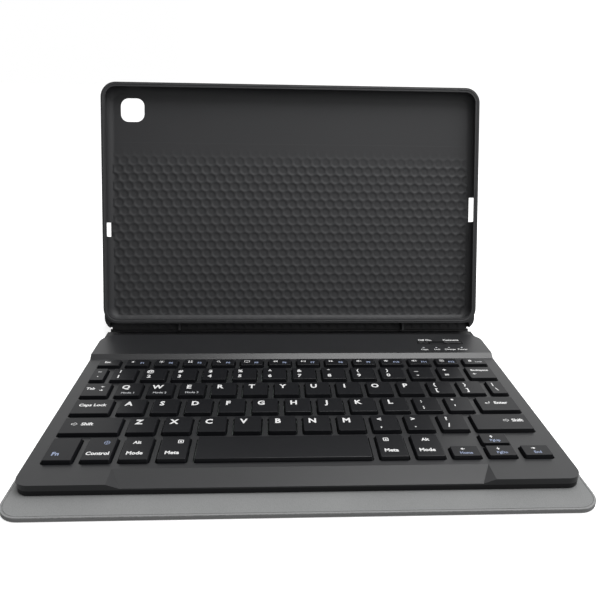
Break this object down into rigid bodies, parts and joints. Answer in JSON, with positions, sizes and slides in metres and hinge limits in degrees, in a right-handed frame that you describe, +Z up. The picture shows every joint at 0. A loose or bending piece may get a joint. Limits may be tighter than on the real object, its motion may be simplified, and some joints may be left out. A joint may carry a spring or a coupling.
{
  "type": "tablet keyboard case",
  "caption": "Folding tablet case: a leaning moulded tray on a flap stand, hinged by a spine to a flat cover that carries a removable slim keyboard.",
  "frame": {"origin": "on the table, at the centre of the open case's footprint", "axes": "+X along the width to the user's right, +Y away from the user, +Z up"},
  "size_m": [0.2528, 0.2338, 0.1618],
  "materials": {
    "leather": "black polyurethane leather with a fine grain",
    "lining": "grey microfibre",
    "board": "stiff fibre board",
    "steel": "plain steel",
    "magnet": "nickel-plated magnet",
    "tray": "matt flexible polyurethane",
    "adhesive": "adhesive foam",
    "case": "finely textured dark grey plastic",
    "keycap": "satin black plastic with white legends",
    "feet": "soft rubber",
    "membrane": "clear polyester film",
    "links": "white moulded plastic",
    "circuit": "green circuit board",
    "battery": "foil pouch",
    "port": "stamped steel",
    "lamp": "clear light guides"
  },
  "bodies": {
    "front_cover": {"front_cover_skin": "leather", "front_cover_board": "board", "front_cover_lining": "lining", "keyboard_magnets": "magnet"},
    "spine": {"spine_skin": "leather", "spine_board": "board", "spine_lining": "leather"},
    "tray": {"tray_shell": "tray", "back_skin": "leather", "back_board": "board", "tray_bonding_pad": "adhesive", "tray_keepers": "steel"},
    "kickstand": {"kickstand_skin": "leather", "kickstand_board": "board", "kickstand_lining": "lining", "kickstand_magnets": "magnet"},
    "keyboard": {"keyboard_top_shell": "case", "keyboard_bottom_shell": "case", "rubber_feet": "feet", "shell_screws": "steel", "key_support_plate": "steel", "membrane_sheet": "membrane", "rubber_domes": "feet", "scissor_links": "links", "circuit_board": "circuit", "battery_cell": "battery", "charging_port": "port", "switch_bodies": "links", "indicator_lenses": "lamp"},
    "power_switch": {"power_switch_slider": "keycap"},
    "pair_button": {"pair_button": "keycap"},
    "escape_key": {"escape_key": "keycap"},
    "function_keys": {"function_keys": "keycap"},
    "lock_key": {"lock_key": "keycap"},
    "backquote_key": {"backquote_key": "keycap"},
    "number_keys": {"number_keys": "keycap"},
    "backspace_key": {"backspace_key": "keycap"},
    "tab_key": {"tab_key": "keycap"},
    "upper_letter_keys": {"upper_letter_keys": "keycap"},
    "backslash_key": {"backslash_key": "keycap"},
    "caps_lock_key": {"caps_lock_key": "keycap"},
    "home_letter_keys": {"home_letter_keys": "keycap"},
    "enter_key": {"enter_key": "keycap"},
    "left_shift_key": {"left_shift_key": "keycap"},
    "lower_letter_keys": {"lower_letter_keys": "keycap"},
    "right_shift_key": {"right_shift_key": "keycap"},
    "fn_key": {"fn_key": "keycap"},
    "control_key": {"control_key": "keycap"},
    "left_option_key": {"left_option_key": "keycap"},
    "left_command_key": {"left_command_key": "keycap"},
    "space_key": {"space_key": "keycap"},
    "right_command_key": {"right_command_key": "keycap"},
    "right_option_key": {"right_option_key": "keycap"},
    "left_arrow_key": {"left_arrow_key": "keycap"},
    "up_arrow_key": {"up_arrow_key": "keycap"},
    "down_arrow_key": {"down_arrow_key": "keycap"},
    "right_arrow_key": {"right_arrow_key": "keycap"}
  },
  "joints": [
    {"name": "spine_fold", "type": "hinge", "parent": "front_cover", "child": "spine", "pos_m": [0, 0.04347, 0.00035], "axis": [1, 0, 0], "range_deg": [0, 90]},
    {"name": "tray_fold", "type": "hinge", "parent": "spine", "child": "tray", "pos_m": [0, 0.06387, 0.00035], "axis": [1, 0, 0], "range_deg": [-71.5, 18.5]},
    {"name": "kickstand_fold", "type": "hinge", "parent": "tray", "child": "kickstand", "pos_m": [0, 0.09069, 0.07925], "axis": [1, 0, 0], "range_deg": [0, 144.5]},
    {"name": "keyboard_lift", "type": "slide", "parent": "front_cover", "child": "keyboard", "axis": [0, 0, -1], "range_m": [-0.05, 0]},
    {"name": "power_switch_slide", "type": "slide", "parent": "keyboard", "child": "power_switch", "axis": [1, 0, 0], "range_m": [0, 0.003]},
    {"name": "pair_button_press", "type": "slide", "parent": "keyboard", "child": "pair_button", "axis": [0, 0, -1], "range_m": [0, 0.0005], "stiffness_N_per_m": 300},
    {"name": "escape_press", "type": "slide", "parent": "keyboard", "child": "escape_key", "axis": [0, 0, -1], "range_m": [0, 0.0016], "stiffness_N_per_m": 300},
    {"name": "function_keys_press", "type": "slide", "parent": "keyboard", "child": "function_keys", "axis": [0, 0, -1], "range_m": [0, 0.0016], "stiffness_N_per_m": 900},
    {"name": "lock_press", "type": "slide", "parent": "keyboard", "child": "lock_key", "axis": [0, 0, -1], "range_m": [0, 0.0016], "stiffness_N_per_m": 300},
    {"name": "backquote_press", "type": "slide", "parent": "keyboard", "child": "backquote_key", "axis": [0, 0, -1], "range_m": [0, 0.0016], "stiffness_N_per_m": 300},
    {"name": "number_keys_press", "type": "slide", "parent": "keyboard", "child": "number_keys", "axis": [0, 0, -1], "range_m": [0, 0.0016], "stiffness_N_per_m": 900},
    {"name": "backspace_press", "type": "slide", "parent": "keyboard", "child": "backspace_key", "axis": [0, 0, -1], "range_m": [0, 0.0016], "stiffness_N_per_m": 300},
    {"name": "tab_press", "type": "slide", "parent": "keyboard", "child": "tab_key", "axis": [0, 0, -1], "range_m": [0, 0.0016], "stiffness_N_per_m": 300},
    {"name": "upper_letter_keys_press", "type": "slide", "parent": "keyboard", "child": "upper_letter_keys", "axis": [0, 0, -1], "range_m": [0, 0.0016], "stiffness_N_per_m": 900},
    {"name": "backslash_press", "type": "slide", "parent": "keyboard", "child": "backslash_key", "axis": [0, 0, -1], "range_m": [0, 0.0016], "stiffness_N_per_m": 300},
    {"name": "caps_lock_press", "type": "slide", "parent": "keyboard", "child": "caps_lock_key", "axis": [0, 0, -1], "range_m": [0, 0.0016], "stiffness_N_per_m": 300},
    {"name": "home_letter_keys_press", "type": "slide", "parent": "keyboard", "child": "home_letter_keys", "axis": [0, 0, -1], "range_m": [0, 0.0016], "stiffness_N_per_m": 900},
    {"name": "enter_press", "type": "slide", "parent": "keyboard", "child": "enter_key", "axis": [0, 0, -1], "range_m": [0, 0.0016], "stiffness_N_per_m": 300},
    {"name": "left_shift_press", "type": "slide", "parent": "keyboard", "child": "left_shift_key", "axis": [0, 0, -1], "range_m": [0, 0.0016], "stiffness_N_per_m": 300},
    {"name": "lower_letter_keys_press", "type": "slide", "parent": "keyboard", "child": "lower_letter_keys", "axis": [0, 0, -1], "range_m": [0, 0.0016], "stiffness_N_per_m": 900},
    {"name": "right_shift_press", "type": "slide", "parent": "keyboard", "child": "right_shift_key", "axis": [0, 0, -1], "range_m": [0, 0.0016], "stiffness_N_per_m": 300},
    {"name": "fn_press", "type": "slide", "parent": "keyboard", "child": "fn_key", "axis": [0, 0, -1], "range_m": [0, 0.0016], "stiffness_N_per_m": 300},
    {"name": "control_press", "type": "slide", "parent": "keyboard", "child": "control_key", "axis": [0, 0, -1], "range_m": [0, 0.0016], "stiffness_N_per_m": 300},
    {"name": "left_option_press", "type": "slide", "parent": "keyboard", "child": "left_option_key", "axis": [0, 0, -1], "range_m": [0, 0.0016], "stiffness_N_per_m": 300},
    {"name": "left_command_press", "type": "slide", "parent": "keyboard", "child": "left_command_key", "axis": [0, 0, -1], "range_m": [0, 0.0016], "stiffness_N_per_m": 300},
    {"name": "space_press", "type": "slide", "parent": "keyboard", "child": "space_key", "axis": [0, 0, -1], "range_m": [0, 0.0016], "stiffness_N_per_m": 300},
    {"name": "right_command_press", "type": "slide", "parent": "keyboard", "child": "right_command_key", "axis": [0, 0, -1], "range_m": [0, 0.0016], "stiffness_N_per_m": 300},
    {"name": "right_option_press", "type": "slide", "parent": "keyboard", "child": "right_option_key", "axis": [0, 0, -1], "range_m": [0, 0.0016], "stiffness_N_per_m": 300},
    {"name": "left_arrow_press", "type": "slide", "parent": "keyboard", "child": "left_arrow_key", "axis": [0, 0, -1], "range_m": [0, 0.0016], "stiffness_N_per_m": 300},
    {"name": "up_arrow_press", "type": "slide", "parent": "keyboard", "child": "up_arrow_key", "axis": [0, 0, -1], "range_m": [0, 0.0016], "stiffness_N_per_m": 300},
    {"name": "down_arrow_press", "type": "slide", "parent": "keyboard", "child": "down_arrow_key", "axis": [0, 0, -1], "range_m": [0, 0.0016], "stiffness_N_per_m": 300},
    {"name": "right_arrow_press", "type": "slide", "parent": "keyboard", "child": "right_arrow_key", "axis": [0, 0, -1], "range_m": [0, 0.0016], "stiffness_N_per_m": 300}
  ]
}
